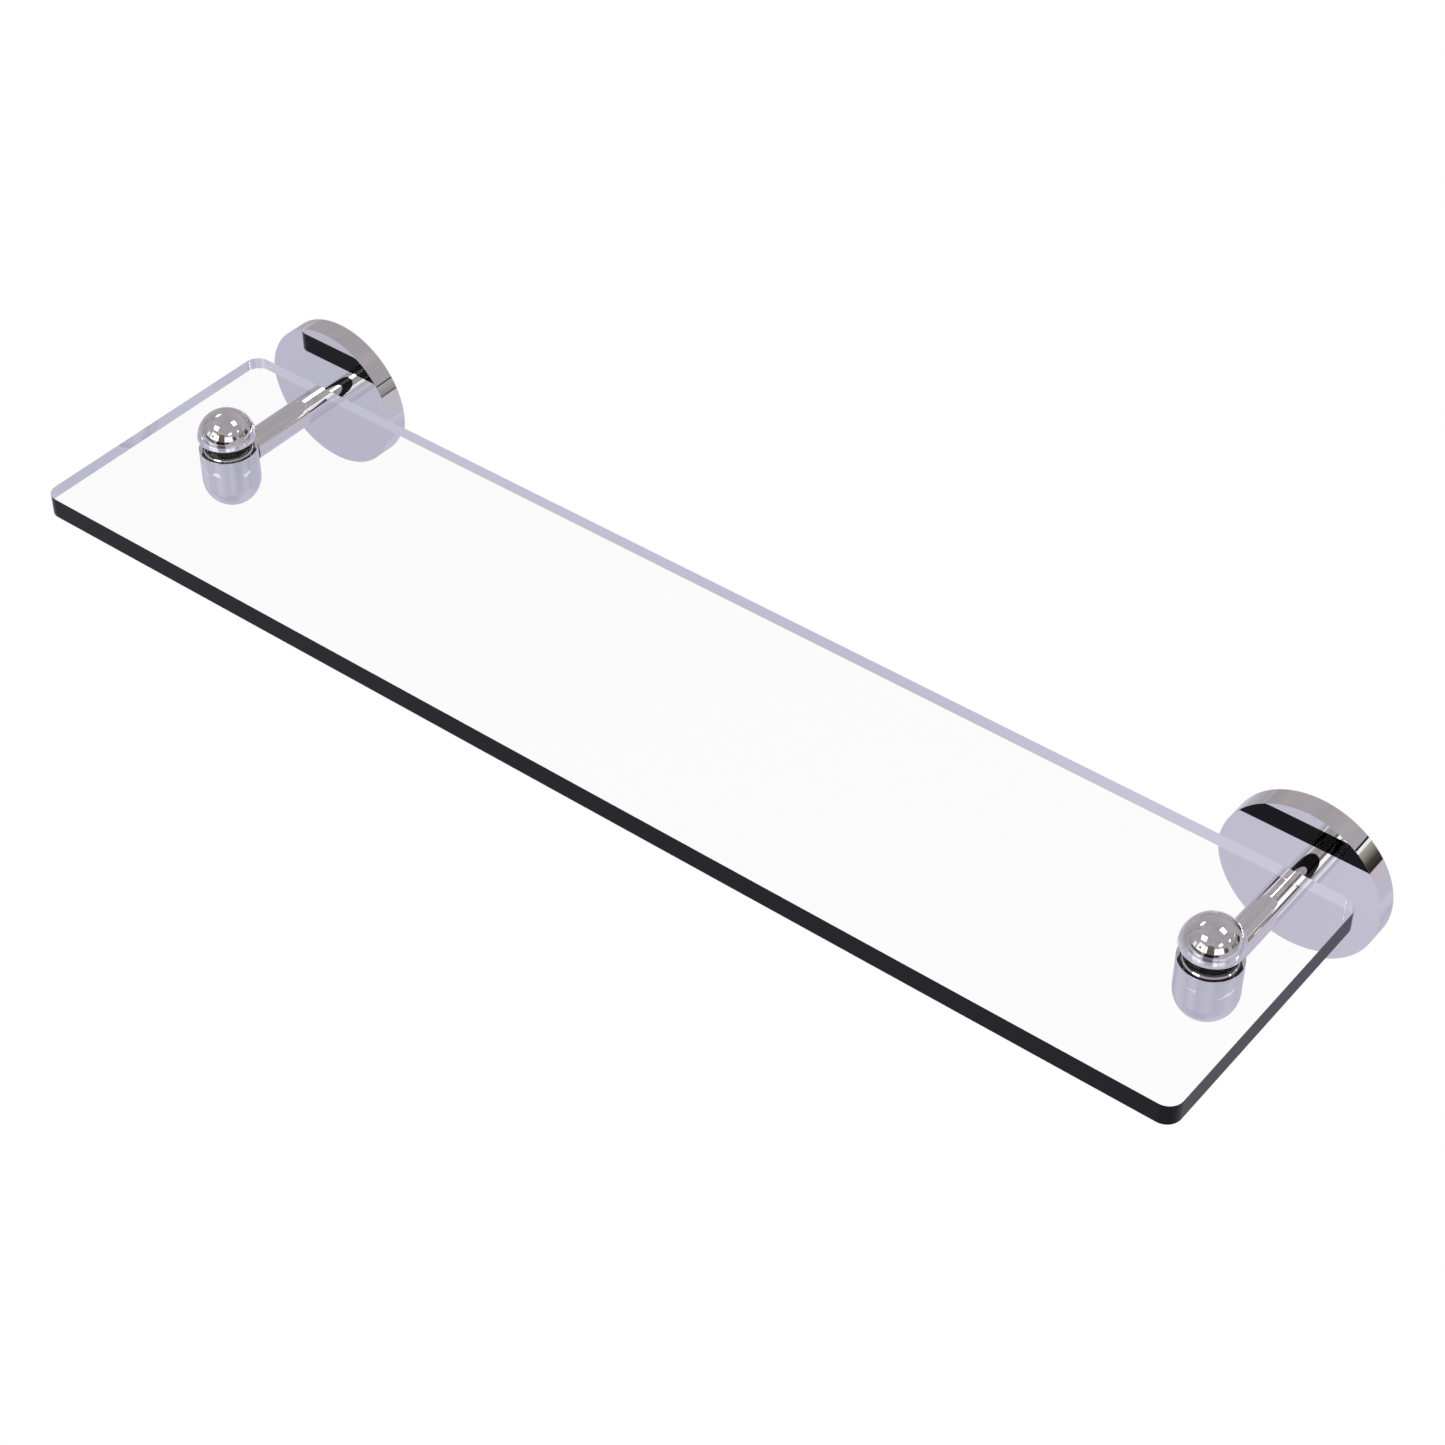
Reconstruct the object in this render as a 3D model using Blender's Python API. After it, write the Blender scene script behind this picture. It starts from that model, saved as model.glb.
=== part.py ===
"""Glass wall shelf on two round-plated brackets.

Frame: metres, +Z up, +X along the shelf, the room on the -Y side. The origin lies on the wall plane,
midway between the two brackets, at the height of the posts. Left is the -X end.

Each bracket is a hollow rosette over a wall plate, a round post, and a clamp: a round-bottomed
body under the glass and a domed nut above it, drawn together by a stud through a hole in the glass.
"""

import math

import bmesh
import bpy

# Clearance kept between neighbouring pieces.
GAP = 0.0003

# Glass panel: 22 in long, 5 in deep and 3/8 in thick, with 1/4 in corners.
GLASS_LENGTH = 0.5588
GLASS_DEPTH = 0.1275
GLASS_THICKNESS = 0.0095
GLASS_CORNER = 0.00635
GLASS_TOP = 0.0175

# Brackets: 19 1/2 in between centres.
BRACKET_SPACING = 0.4953
ROSETTE_RADIUS = 0.034925
ROSETTE_DEPTH = 0.0099
ROSETTE_RIM = 0.0020
ROSETTE_FACE = 0.0025
ROSETTE_TO_GLASS = 0.0125
POST_RADIUS = 0.00635

# Clamp: its axis is upright and stands this far from the wall.
CLAMP_FROM_GLASS_BACK = 0.0509
CLAMP_RADIUS = 0.0127
CLAMP_STRAIGHT_BOTTOM = -0.0080
METAL_OFF_GLASS = 0.0003
DOME_SPHERE_SUNK = 0.0009
EDGE_BREAK = 0.0003

# Clamp stud: 1/4 in with 20 threads to the inch.
STUD_RADIUS = 0.003175
STUD_BOTTOM = -0.0055
STUD_REACH_IN_DOME = 0.0083
DOME_BORE_DEPTH = 0.0091

GASKET_RADIUS = 0.0090
GASKET_BORE = 0.0038
GASKET_THICKNESS = 0.0012
SLEEVE_RADIUS = 0.0050

POST_STUD_RADIUS = 0.0025
POST_STUD_LENGTH = 0.0150
POST_STUD_FROM_CLAMP_AXIS = 0.0050
POST_SCREW_RADIUS = 0.0024
POST_SCREW_LENGTH = 0.0175
POST_SCREW_HEAD_RADIUS = 0.0048
POST_SCREW_HEAD_HEIGHT = 0.0026
CROSS_RECESS_WIDTH = 0.0008
CROSS_RECESS_DEPTH = 0.0013

WALL_PLATE_RADIUS = 0.0300
WALL_PLATE_THICKNESS = 0.0040
WALL_PLATE_CHAMFER = 0.0010
PLATE_HOLE_OFFSET = 0.0180
PLATE_HOLE_RADIUS = 0.0024

SET_SCREW_RADIUS = 0.0015
SET_SCREW_FROM_WALL = 0.0030
SET_SCREW_RECESS = 0.0004
HEX_SOCKET_RADIUS = 0.0009
HEX_SOCKET_DEPTH = 0.0016

# Facets round each kind of turned piece, and in a quarter of a dome.
ROSETTE_FACETS = 64
CLAMP_FACETS = 48
DOME_RINGS = 8
POST_FACETS = 40
SMALL_FACETS = 20
CORNER_FACETS = 6
SHARP_ANGLE = math.radians(30)

# Places worked out from the sizes above.
GLASS_BOTTOM = GLASS_TOP - GLASS_THICKNESS
GLASS_BACK = -(ROSETTE_DEPTH + ROSETTE_TO_GLASS)
GLASS_FRONT = GLASS_BACK - GLASS_DEPTH
CLAMP_FROM_WALL = CLAMP_FROM_GLASS_BACK - GLASS_BACK
DOME_BASE = GLASS_TOP + METAL_OFF_GLASS
BODY_TOP = GLASS_BOTTOM - METAL_OFF_GLASS
UPPER_GASKET_BOTTOM = GLASS_TOP + GAP
LOWER_GASKET_TOP = GLASS_BOTTOM - GAP
STUD_BORE = STUD_RADIUS + GAP
HOLE_RADIUS = SLEEVE_RADIUS + GAP
RECESS_RADIUS = GASKET_RADIUS + GAP
RECESS_DEPTH = GASKET_THICKNESS + 2 * GAP - METAL_OFF_GLASS


def clear_scene():
    for obj in list(bpy.data.objects):
        bpy.data.objects.remove(obj)


def new_material(name, colour, roughness, metallic, transmission=0.0, ior=1.5):
    material = bpy.data.materials.new(name)
    material.use_nodes = True
    material.diffuse_color = (*colour, 1.0)
    shader = material.node_tree.nodes["Principled BSDF"]
    shader.inputs["Base Color"].default_value = (*colour, 1.0)
    shader.inputs["Roughness"].default_value = roughness
    shader.inputs["Metallic"].default_value = metallic
    shader.inputs["Transmission Weight"].default_value = transmission
    shader.inputs["IOR"].default_value = ior
    return material


def make_materials():
    return {
        "chrome": new_material("chrome", (0.80, 0.78, 0.84), 0.03, 1.0),
        "glass": new_material("glass", (0.98, 0.99, 1.0), 0.0, 0.0, 1.0, 1.3),
        "rubber": new_material("rubber", (0.02, 0.02, 0.02), 0.6, 0.0),
        "nylon": new_material("nylon", (0.85, 0.85, 0.82), 0.45, 0.0),
        "plated_steel": new_material("plated_steel", (0.60, 0.61, 0.62), 0.3, 1.0),
    }


def new_object(name, mesh, parent=None, location=(0, 0, 0), rotation=(0, 0, 0)):
    obj = bpy.data.objects.new(name, mesh)
    obj.location = location
    obj.rotation_euler = rotation
    obj.parent = parent
    bpy.context.scene.collection.objects.link(obj)
    return obj


def mesh_from(bm, name, material=None):
    bmesh.ops.recalc_face_normals(bm, faces=bm.faces)
    mesh = bpy.data.meshes.new(name)
    bm.to_mesh(mesh)
    bm.free()
    if material:
        mesh.materials.append(material)
    mesh.shade_smooth()
    mesh.set_sharp_from_angle(angle=SHARP_ANGLE)
    return mesh


def turned_mesh(name, outline, facets, material=None):
    """A mesh turned about local Z. The outline is (radius, height) points: it starts and ends on the
    axis for a solid piece, and closes on itself for a ring."""
    bm = bmesh.new()
    points = [bm.verts.new((radius, 0, height)) for radius, height in outline]
    edges = [bm.edges.new(pair) for pair in zip(points, points[1:])]
    if outline[0][0] > 0:
        edges.append(bm.edges.new((points[-1], points[0])))
    bmesh.ops.spin(
        bm,
        geom=points + edges,
        axis=(0, 0, 1),
        cent=(0, 0, 0),
        angle=math.tau,
        steps=facets,
        use_merge=True,
    )
    bmesh.ops.remove_doubles(bm, verts=bm.verts, dist=1e-6)
    return mesh_from(bm, name, material)


def dome_outline(radius, centre_height, upwards, sunk=0.0):
    """Outline points of a sphere up or down to its pole on the axis. They start at the widest ring,
    or that far past it."""
    sign = 1 if upwards else -1
    first = math.asin(sunk / radius)
    steps = [first + (math.pi / 2 - first) * step / DOME_RINGS for step in range(DOME_RINGS)]
    ring_points = [
        (radius * math.cos(a), centre_height + sign * radius * math.sin(a)) for a in steps
    ]
    return ring_points + [(0, centre_height + sign * radius)]


def rod_outline(radius, low, high, chamfer):
    return [
        (0, low),
        (radius - chamfer, low),
        (radius, low + chamfer),
        (radius, high - chamfer),
        (radius - chamfer, high),
        (0, high),
    ]


def ring_outline(inner, outer, low, high):
    return [(inner, low), (outer, low), (outer, high), (inner, high)]


def hide_as_cutter(obj):
    obj.hide_render = True
    obj.display_type = "WIRE"


def cut_with(obj, cutter):
    hide_as_cutter(cutter)
    modifier = obj.modifiers.new(f"cut_{cutter.name}", "BOOLEAN")
    modifier.operation = "DIFFERENCE"
    modifier.object = cutter


def round_cutter(name, radius, low, high, facets, **place):
    outline = [(0, low), (radius, low), (radius, high), (0, high)]
    return new_object(name, turned_mesh(name, outline, facets), **place)


def box_cutter(name, size, centre, **place):
    bm = bmesh.new()
    bmesh.ops.create_cube(bm, size=1.0)
    bmesh.ops.scale(bm, vec=size, verts=bm.verts)
    bmesh.ops.translate(bm, vec=centre, verts=bm.verts)
    return new_object(name, mesh_from(bm, name), **place)


def cut_cross_recess(screw, head_top, half_length, **place):
    """Two crossed slots in a screw head, open at its top."""
    long_side = 2 * half_length
    centre = (0, 0, head_top)
    depth = 2 * CROSS_RECESS_DEPTH
    for name, size in (
        ("slot_a", (long_side, CROSS_RECESS_WIDTH, depth)),
        ("slot_b", (CROSS_RECESS_WIDTH, long_side, depth)),
    ):
        cut_with(screw, box_cutter(f"{screw.name}_{name}", size, centre, **place))


def make_glass(materials):
    """Rounded rectangle, extruded upwards, with a hole for each clamp stud."""
    bm = bmesh.new()
    half_length = GLASS_LENGTH / 2 - GLASS_CORNER
    corners = (
        (half_length, GLASS_BACK - GLASS_CORNER, 0),
        (-half_length, GLASS_BACK - GLASS_CORNER, 1),
        (-half_length, GLASS_FRONT + GLASS_CORNER, 2),
        (half_length, GLASS_FRONT + GLASS_CORNER, 3),
    )
    outline = []
    for centre_x, centre_y, quarter in corners:
        for step in range(CORNER_FACETS + 1):
            angle = math.pi / 2 * (quarter + step / CORNER_FACETS)
            x = centre_x + GLASS_CORNER * math.cos(angle)
            y = centre_y + GLASS_CORNER * math.sin(angle)
            outline.append(bm.verts.new((x, y, GLASS_BOTTOM)))
    underside = bm.faces.new(outline)
    raised = bmesh.ops.extrude_face_region(bm, geom=[underside])["geom"]
    top_points = [item for item in raised if isinstance(item, bmesh.types.BMVert)]
    bmesh.ops.translate(bm, vec=(0, 0, GLASS_THICKNESS), verts=top_points)
    mesh = mesh_from(bm, "glass_shelf", materials["glass"])
    glass = new_object("glass_shelf", mesh)
    for side, sign in (("left", -1), ("right", 1)):
        hole = round_cutter(
            f"{side}_glass_hole",
            HOLE_RADIUS,
            GLASS_BOTTOM - GLASS_THICKNESS,
            GLASS_TOP + GLASS_THICKNESS,
            SMALL_FACETS,
            location=(sign * BRACKET_SPACING / 2, -CLAMP_FROM_WALL, 0),
        )
        cut_with(glass, hole)


def make_rosette(side, place, materials):
    """Shallow cup, open towards the wall. Local Z runs from the wall into the room."""
    inner_radius = ROSETTE_RADIUS - ROSETTE_RIM
    inner_depth = ROSETTE_DEPTH - ROSETTE_FACE
    screw_hole = POST_SCREW_RADIUS + GAP
    outline = [
        (screw_hole, inner_depth),
        (inner_radius, inner_depth),
        (inner_radius, 0),
        (ROSETTE_RADIUS, 0),
        (ROSETTE_RADIUS, ROSETTE_DEPTH - EDGE_BREAK),
        (ROSETTE_RADIUS - EDGE_BREAK, ROSETTE_DEPTH),
        (screw_hole, ROSETTE_DEPTH),
    ]
    name = f"{side}_rosette"
    mesh = turned_mesh(name, outline, ROSETTE_FACETS, materials["chrome"])
    rosette = new_object(name, mesh, **place)
    hole = round_cutter(
        f"{side}_set_screw_hole",
        SET_SCREW_RADIUS + GAP,
        -ROSETTE_RADIUS - ROSETTE_RIM,
        -inner_radius + ROSETTE_RIM,
        SMALL_FACETS,
        parent=place["parent"],
        location=(0, -SET_SCREW_FROM_WALL, 0),
    )
    cut_with(rosette, hole)


def make_wall_plate(side, place, materials):
    """Round plate that lies flat on the wall, with two holes for wall screws. The set screw bears
    on its rim."""
    outline = [
        (0, 0),
        (WALL_PLATE_RADIUS, 0),
        (WALL_PLATE_RADIUS, WALL_PLATE_THICKNESS - WALL_PLATE_CHAMFER),
        (WALL_PLATE_RADIUS - WALL_PLATE_CHAMFER, WALL_PLATE_THICKNESS),
        (0, WALL_PLATE_THICKNESS),
    ]
    name = f"{side}_wall_plate"
    mesh = turned_mesh(name, outline, POST_FACETS, materials["plated_steel"])
    plate = new_object(name, mesh, **place)
    for level, sign in (("upper", 1), ("lower", -1)):
        hole = round_cutter(
            f"{side}_{level}_plate_hole",
            PLATE_HOLE_RADIUS,
            -WALL_PLATE_THICKNESS,
            2 * WALL_PLATE_THICKNESS,
            SMALL_FACETS,
            parent=place["parent"],
            location=(0, 0, sign * PLATE_HOLE_OFFSET),
            rotation=place["rotation"],
        )
        cut_with(plate, hole)


def make_set_screw(side, bracket, materials):
    """Cone-point screw under the rosette, upright, with its hex socket facing down."""
    tip = -WALL_PLATE_RADIUS - GAP
    low = -ROSETTE_RADIUS + SET_SCREW_RECESS
    outline = [(0, low), (SET_SCREW_RADIUS, low), (SET_SCREW_RADIUS, tip - SET_SCREW_RADIUS), (0, tip)]
    name = f"{side}_rosette_set_screw"
    place = {"parent": bracket, "location": (0, -SET_SCREW_FROM_WALL, 0)}
    mesh = turned_mesh(name, outline, SMALL_FACETS, materials["plated_steel"])
    screw = new_object(name, mesh, **place)
    hexagon_sides = 6
    socket = round_cutter(
        f"{name}_socket",
        HEX_SOCKET_RADIUS,
        low - HEX_SOCKET_DEPTH,
        low + HEX_SOCKET_DEPTH,
        hexagon_sides,
        **place,
    )
    cut_with(screw, socket)


def make_post(side, place, clamp_axis, materials):
    """Round bar from the rosette to the clamp. It is tapped at both ends and hollowed to a saddle
    where it meets the clamp body."""
    rear = ROSETTE_DEPTH + GAP
    saddle_radius = CLAMP_RADIUS + GAP
    saddle_edge = math.sqrt(saddle_radius**2 - POST_RADIUS**2)
    front = CLAMP_FROM_WALL - saddle_edge + GAP
    screw_bore = POST_SCREW_RADIUS + GAP
    screw_bore_end = rear + POST_SCREW_LENGTH
    stud_bore = POST_STUD_RADIUS + GAP
    stud_bore_end = CLAMP_FROM_WALL - POST_STUD_FROM_CLAMP_AXIS - POST_STUD_LENGTH - GAP
    outline = [
        (0, screw_bore_end),
        (screw_bore, screw_bore_end),
        (screw_bore, rear),
        (POST_RADIUS, rear),
        (POST_RADIUS, front),
        (stud_bore, front),
        (stud_bore, stud_bore_end),
        (0, stud_bore_end),
    ]
    name = f"{side}_post"
    mesh = turned_mesh(name, outline, POST_FACETS, materials["chrome"])
    post = new_object(name, mesh, **place)
    saddle = round_cutter(
        f"{side}_post_saddle",
        saddle_radius,
        -2 * POST_RADIUS,
        2 * POST_RADIUS,
        CLAMP_FACETS,
        parent=clamp_axis,
    )
    cut_with(post, saddle)


def make_post_fasteners(side, place, materials):
    """The screw from inside the rosette into the post, and the stud from the post into the clamp."""
    seat = ROSETTE_DEPTH - ROSETTE_FACE - GAP
    head_top = seat - POST_SCREW_HEAD_HEIGHT
    screw_outline = [
        (0, head_top),
        (POST_SCREW_HEAD_RADIUS, head_top),
        (POST_SCREW_HEAD_RADIUS, seat),
        (POST_SCREW_RADIUS, seat),
        (POST_SCREW_RADIUS, seat + POST_SCREW_LENGTH),
        (0, seat + POST_SCREW_LENGTH),
    ]
    screw_name = f"{side}_post_screw"
    screw_mesh = turned_mesh(screw_name, screw_outline, SMALL_FACETS, materials["plated_steel"])
    screw = new_object(screw_name, screw_mesh, **place)
    cut_cross_recess(screw, head_top, POST_SCREW_HEAD_RADIUS * 0.55, **place)
    stud_high = CLAMP_FROM_WALL - POST_STUD_FROM_CLAMP_AXIS
    stud_outline = rod_outline(
        POST_STUD_RADIUS, stud_high - POST_STUD_LENGTH, stud_high, EDGE_BREAK
    )
    stud_name = f"{side}_post_stud"
    stud_mesh = turned_mesh(stud_name, stud_outline, SMALL_FACETS, materials["plated_steel"])
    new_object(stud_name, stud_mesh, **place)


def make_clamp_body(side, clamp_axis, materials):
    """Round-bottomed body under the glass, with a bore for the clamp stud, a recess for the gasket
    and a bore in its wall side for the post stud."""
    bore_bottom = STUD_BOTTOM - GAP
    recess_floor = BODY_TOP - RECESS_DEPTH
    outline = [
        (0, bore_bottom),
        (STUD_BORE, bore_bottom),
        (STUD_BORE, recess_floor),
        (RECESS_RADIUS, recess_floor),
        (RECESS_RADIUS, BODY_TOP),
        (CLAMP_RADIUS - EDGE_BREAK, BODY_TOP),
        (CLAMP_RADIUS, BODY_TOP - EDGE_BREAK),
    ]
    outline += dome_outline(CLAMP_RADIUS, CLAMP_STRAIGHT_BOTTOM, upwards=False)
    name = f"{side}_clamp_body"
    mesh = turned_mesh(name, outline, CLAMP_FACETS, materials["chrome"])
    body = new_object(name, mesh, parent=clamp_axis)
    side_bore = round_cutter(
        f"{side}_clamp_side_bore",
        POST_STUD_RADIUS + GAP,
        POST_STUD_FROM_CLAMP_AXIS - GAP,
        2 * CLAMP_RADIUS,
        SMALL_FACETS,
        parent=clamp_axis,
        rotation=(-math.pi / 2, 0, 0),
    )
    cut_with(body, side_bore)


def make_dome(side, clamp_axis, materials):
    """Domed nut. Its origin lies on the thread's axis, at the centre of its base."""
    outline = [
        (0, DOME_BORE_DEPTH),
        (STUD_BORE, DOME_BORE_DEPTH),
        (STUD_BORE, RECESS_DEPTH),
        (RECESS_RADIUS, RECESS_DEPTH),
        (RECESS_RADIUS, 0),
    ]
    outline += dome_outline(CLAMP_RADIUS, -DOME_SPHERE_SUNK, upwards=True, sunk=DOME_SPHERE_SUNK)
    name = f"{side}_dome_nut"
    mesh = turned_mesh(name, outline, CLAMP_FACETS, materials["chrome"])
    new_object(name, mesh, parent=clamp_axis, location=(0, 0, DOME_BASE))


def make_clamp_inside(side, clamp_axis, materials):
    """The stud, the two gaskets that keep metal off the glass, and the sleeve in the glass hole."""
    stud_top = DOME_BASE + STUD_REACH_IN_DOME
    gasket = (GASKET_BORE, GASKET_RADIUS)
    upper_top = UPPER_GASKET_BOTTOM + GASKET_THICKNESS
    lower_bottom = LOWER_GASKET_TOP - GASKET_THICKNESS
    pieces = (
        ("clamp_stud", rod_outline(STUD_RADIUS, STUD_BOTTOM, stud_top, EDGE_BREAK), "plated_steel"),
        ("upper_gasket", ring_outline(*gasket, UPPER_GASKET_BOTTOM, upper_top), "rubber"),
        ("lower_gasket", ring_outline(*gasket, lower_bottom, LOWER_GASKET_TOP), "rubber"),
        ("glass_sleeve", ring_outline(STUD_BORE, SLEEVE_RADIUS, GLASS_BOTTOM, GLASS_TOP), "nylon"),
    )
    for part, outline, material in pieces:
        name = f"{side}_{part}"
        mesh = turned_mesh(name, outline, SMALL_FACETS, materials[material])
        new_object(name, mesh, parent=clamp_axis)


def make_bracket(side, sign, materials):
    bracket = new_object(f"{side}_bracket", None, location=(sign * BRACKET_SPACING / 2, 0, 0))
    clamp_axis = new_object(f"{side}_clamp_axis", None, bracket, (0, -CLAMP_FROM_WALL, 0))
    out_of_wall = {"parent": bracket, "rotation": (math.pi / 2, 0, 0)}
    make_rosette(side, out_of_wall, materials)
    make_wall_plate(side, out_of_wall, materials)
    make_set_screw(side, bracket, materials)
    make_post(side, out_of_wall, clamp_axis, materials)
    make_post_fasteners(side, out_of_wall, materials)
    make_clamp_body(side, clamp_axis, materials)
    make_clamp_inside(side, clamp_axis, materials)
    make_dome(side, clamp_axis, materials)


def main():
    clear_scene()
    materials = make_materials()
    make_glass(materials)
    for side, sign in (("left", -1), ("right", 1)):
        make_bracket(side, sign, materials)
    bpy.context.view_layer.update()


main()
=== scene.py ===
"""Looks of the glass wall shelf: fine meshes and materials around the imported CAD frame."""

import math

import bmesh
import bpy
from mathutils import Matrix, Vector


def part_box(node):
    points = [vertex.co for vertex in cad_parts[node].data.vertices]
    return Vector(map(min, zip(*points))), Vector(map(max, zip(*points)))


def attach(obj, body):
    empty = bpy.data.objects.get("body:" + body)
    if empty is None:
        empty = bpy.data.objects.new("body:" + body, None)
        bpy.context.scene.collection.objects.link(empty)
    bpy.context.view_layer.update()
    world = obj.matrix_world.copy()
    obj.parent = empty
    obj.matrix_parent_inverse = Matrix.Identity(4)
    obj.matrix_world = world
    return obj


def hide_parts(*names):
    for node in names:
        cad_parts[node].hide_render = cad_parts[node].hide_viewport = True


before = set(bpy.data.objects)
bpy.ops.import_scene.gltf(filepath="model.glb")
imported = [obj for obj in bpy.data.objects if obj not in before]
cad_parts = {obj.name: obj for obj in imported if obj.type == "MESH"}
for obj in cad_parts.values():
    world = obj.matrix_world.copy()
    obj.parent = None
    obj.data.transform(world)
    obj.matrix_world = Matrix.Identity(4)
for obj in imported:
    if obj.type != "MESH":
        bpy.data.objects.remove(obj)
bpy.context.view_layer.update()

SIDES = ("left", "right")

# Gap between pieces drawn tight, and the roundings of their edges.
TIGHT = 0.00003
CRISP_EDGE = 0.00012
SOFT_EDGE = 0.0003
SHARP_ANGLE = math.radians(32)
MERGE_DISTANCE = 1e-7

# Facets round a full turn, rings along a turn of thread, and steps along arcs.
FACETS = 192
SMALL_FACETS = 96
THREAD_FACETS = 64
BORE_FACETS = 48
HEXAGON = 6
RINGS_PER_TURN = 12
FILLET_STEPS = 4
DOME_STEPS = 48
CORNER_STEPS = 24

# The gap that the CAD keeps between pieces, and sizes that its nodes' boxes don't show.
CLEARANCE = 0.0003
GLASS_CORNER = 0.00635
GLASS_ARRIS = 0.00003
ROSETTE_RIM = 0.0020
ROSETTE_EDGE = 0.00005
ROSETTE_FACE = 0.0025
GASKET_BORE = 0.0038
RECESS_SIDE = 0.0003
NUT_OFF_GLASS = 0.0001
GROOVE_INNER = 0.0103
GROOVE_OUTER = 0.0113
GROOVE_DEPTH = 0.0008
POST_BORE = 0.0028
# Thickness and inset of the black ring at a post's front end, which is painted shade for the
# joint's shadow.
JOINT_SHADE_THICKNESS = 0.0009
JOINT_SHADE_INSET = 0.00015
STUD_PITCH = 0.00127
STUD_THREAD_DEPTH = 0.0007
PLATE_HOLE = 0.0024
PLATE_HOLE_OFFSET = 0.0180
PLATE_CHAMFER = 0.001
SET_SCREW_HOLE = 0.0018
SET_SCREW_PITCH = 0.0005
SET_SCREW_THREAD_DEPTH = 0.0003
SET_SCREW_TIP = 0.0002
SET_SCREW_SOCKET = 0.0009
SET_SCREW_SOCKET_DEPTH = 0.0016

# Camera: where the picture was taken from, in the shelf's own frame.
CAMERA_POSITION = Vector((0.61444, -0.82648, 0.85640))
CAMERA_YAW = math.radians(38.127)
CAMERA_PITCH = math.radians(41.774)
CAMERA_ROLL = math.radians(0.041)
LENS_MM = 80.92
SENSOR_MM = 36.0


# ---------------------------------------------------------------- shader tools


def new_shader_tree(material):
    material.use_nodes = True
    tree = material.node_tree
    tree.nodes.clear()
    return tree


def set_surface(tree, shader):
    output = tree.nodes.new("ShaderNodeOutputMaterial")
    tree.links.new(shader.outputs[0], output.inputs["Surface"])


def math_node(tree, operation, *values, clamp=False):
    """A Math node whose inputs are sockets or plain numbers. Returns its output socket."""
    node = tree.nodes.new("ShaderNodeMath")
    node.operation = operation
    node.use_clamp = clamp
    for socket, value in zip(node.inputs, values):
        if isinstance(value, (int, float)):
            socket.default_value = value
        else:
            tree.links.new(value, socket)
    return node.outputs[0]


def mix_colours(tree, factor, first, second):
    """Mixes two colours, each a tuple or a socket, by a factor socket."""
    mix = tree.nodes.new("ShaderNodeMix")
    mix.data_type = "RGBA"
    tree.links.new(factor, mix.inputs["Factor"])
    for name, colour in (("A", first), ("B", second)):
        if isinstance(colour, tuple):
            mix.inputs[name].default_value = (*colour, 1.0)
        else:
            tree.links.new(colour, mix.inputs[name])
    return mix.outputs["Result"]


def mix_shaders(tree, factor, first, second):
    mix = tree.nodes.new("ShaderNodeMixShader")
    for socket, value in zip(mix.inputs, (factor, first.outputs[0], second.outputs[0])):
        tree.links.new(value, socket)
    return mix


def noise(tree, scale, detail=3.0, stretch=None, coordinates="Object"):
    """Noise over the object's own coordinates, drawn out along an axis if stretch is given. The
    world has no such coordinates, and takes its "Generated" ones, which are directions."""
    spot = tree.nodes.new("ShaderNodeTexCoord").outputs[coordinates]
    if stretch:
        mapping = tree.nodes.new("ShaderNodeMapping")
        mapping.inputs["Scale"].default_value = stretch
        tree.links.new(spot, mapping.inputs["Vector"])
        spot = mapping.outputs[0]
    node = tree.nodes.new("ShaderNodeTexNoise")
    node.inputs["Scale"].default_value = scale
    node.inputs["Detail"].default_value = detail
    tree.links.new(spot, node.inputs["Vector"])
    return node.outputs["Fac"]


def remap(tree, value, low, high, from_low=0.3, from_high=0.7):
    """Spreads a value from low to high. Noise stays mostly between the two default limits."""
    node = tree.nodes.new("ShaderNodeMapRange")
    for socket, number in zip(list(node.inputs)[1:5], (from_low, from_high, low, high)):
        socket.default_value = number
    tree.links.new(value, node.inputs["Value"])
    return node.outputs["Result"]


def add_bump(tree, shader, height, strength, distance):
    bump = tree.nodes.new("ShaderNodeBump")
    bump.inputs["Strength"].default_value = strength
    bump.inputs["Distance"].default_value = distance
    tree.links.new(height, bump.inputs["Height"])
    tree.links.new(bump.outputs[0], shader.inputs["Normal"])


def mirrored(tree):
    """1 on rays that have met a mirror on their way, 0 on those that came straight or through
    clear glass."""
    rays = tree.nodes.new("ShaderNodeLightPath")
    return math_node(tree, "MINIMUM", rays.outputs["Glossy Depth"], 1.0)


def seen_in_glass(tree):
    """1 on rays that went into the glass and met just two mirrors on their way, 0 on others."""
    rays = tree.nodes.new("ShaderNodeLightPath")
    off_two = math_node(tree, "SUBTRACT", rays.outputs["Glossy Depth"], 2.0)
    off_two = math_node(tree, "MINIMUM", math_node(tree, "ABSOLUTE", off_two), 1.0)
    twice = math_node(tree, "SUBTRACT", 1.0, off_two)
    inside = math_node(tree, "MINIMUM", rays.outputs["Transmission Depth"], 1.0)
    return math_node(tree, "MULTIPLY", twice, inside)


# ---------------------------------------------------------------- mesh tools


def new_mesh(bm, name, materials):
    mesh = bpy.data.meshes.new(name)
    bm.to_mesh(mesh)
    bm.free()
    for material in materials:
        mesh.materials.append(material)
    return mesh


def closed_mesh(bm, name, materials):
    bmesh.ops.recalc_face_normals(bm, faces=bm.faces)
    return new_mesh(bm, name, materials)


def place(mesh, location, rotation=(0, 0, 0)):
    obj = bpy.data.objects.new(mesh.name, mesh)
    obj.location = location
    obj.rotation_euler = rotation
    bpy.context.scene.collection.objects.link(obj)
    return obj


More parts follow.
